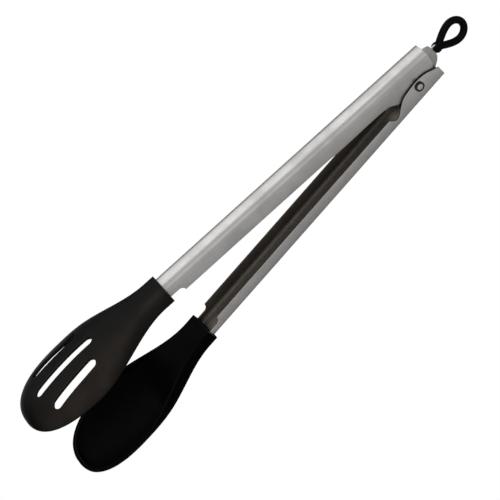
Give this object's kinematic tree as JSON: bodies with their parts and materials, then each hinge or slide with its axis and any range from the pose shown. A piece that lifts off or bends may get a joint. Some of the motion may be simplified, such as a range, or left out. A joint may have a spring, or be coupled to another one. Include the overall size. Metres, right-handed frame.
{
  "type": "spring loaded kitchen tongs",
  "caption": "Spring loaded kitchen tongs: two steel channel arms on one rivet, nylon spoon heads, a sliding lock plate and a hanging loop.",
  "frame": {"origin": "centre of the bounding box's bottom face: the tongs lie on the outer arm, on its rear corner and its head's dome", "axes": "+Z is the way the arms open, +Y lies along the hinge rivet, +X points to the hinge end and -X to the heads"},
  "size_m": [0.3342, 0.0576, 0.0703],
  "materials": {
    "arm_steel": "brushed along the arms, satin",
    "rivet_steel": "turned, satin",
    "spring_steel": "drawn wire and strip, dull",
    "plate_steel": "blanked sheet, satin",
    "black_nylon": "moulded, fine matt texture",
    "black_rubber": "moulded, smooth"
  },
  "bodies": {
    "outer_arm": {"outer_arm": "arm_steel", "solid_head": "black_nylon", "hinge_rivet": "rivet_steel", "rivet_washer": "rivet_steel", "near_thrust_washer": "spring_steel", "far_thrust_washer": "spring_steel", "spacer_bush": "rivet_steel", "torsion_spring": "spring_steel"},
    "inner_arm": {"inner_arm": "arm_steel", "slotted_head": "black_nylon"},
    "lock_plate": {"lock_plate": "plate_steel"},
    "hanging_loop": {"hanging_loop": "black_rubber"}
  },
  "joints": [
    {"name": "arm_hinge", "type": "hinge", "parent": "outer_arm", "child": "inner_arm", "pos_m": [0.1216, 0, 0.01041], "axis": [0, 1, 0], "range_deg": [-9.5, 8], "stiffness_Nm_per_rad": 4, "deforming": ["torsion_spring"]},
    {"name": "lock_slide", "type": "slide", "parent": "inner_arm", "child": "lock_plate", "axis": [0.9853, 0, -0.1711], "range_m": [0, 0.006]},
    {"name": "loop_swing", "type": "hinge", "parent": "lock_plate", "child": "hanging_loop", "pos_m": [0.14399, 0, 0.01251], "axis": [0, 1, 0], "range_deg": [-35, 35]}
  ]
}
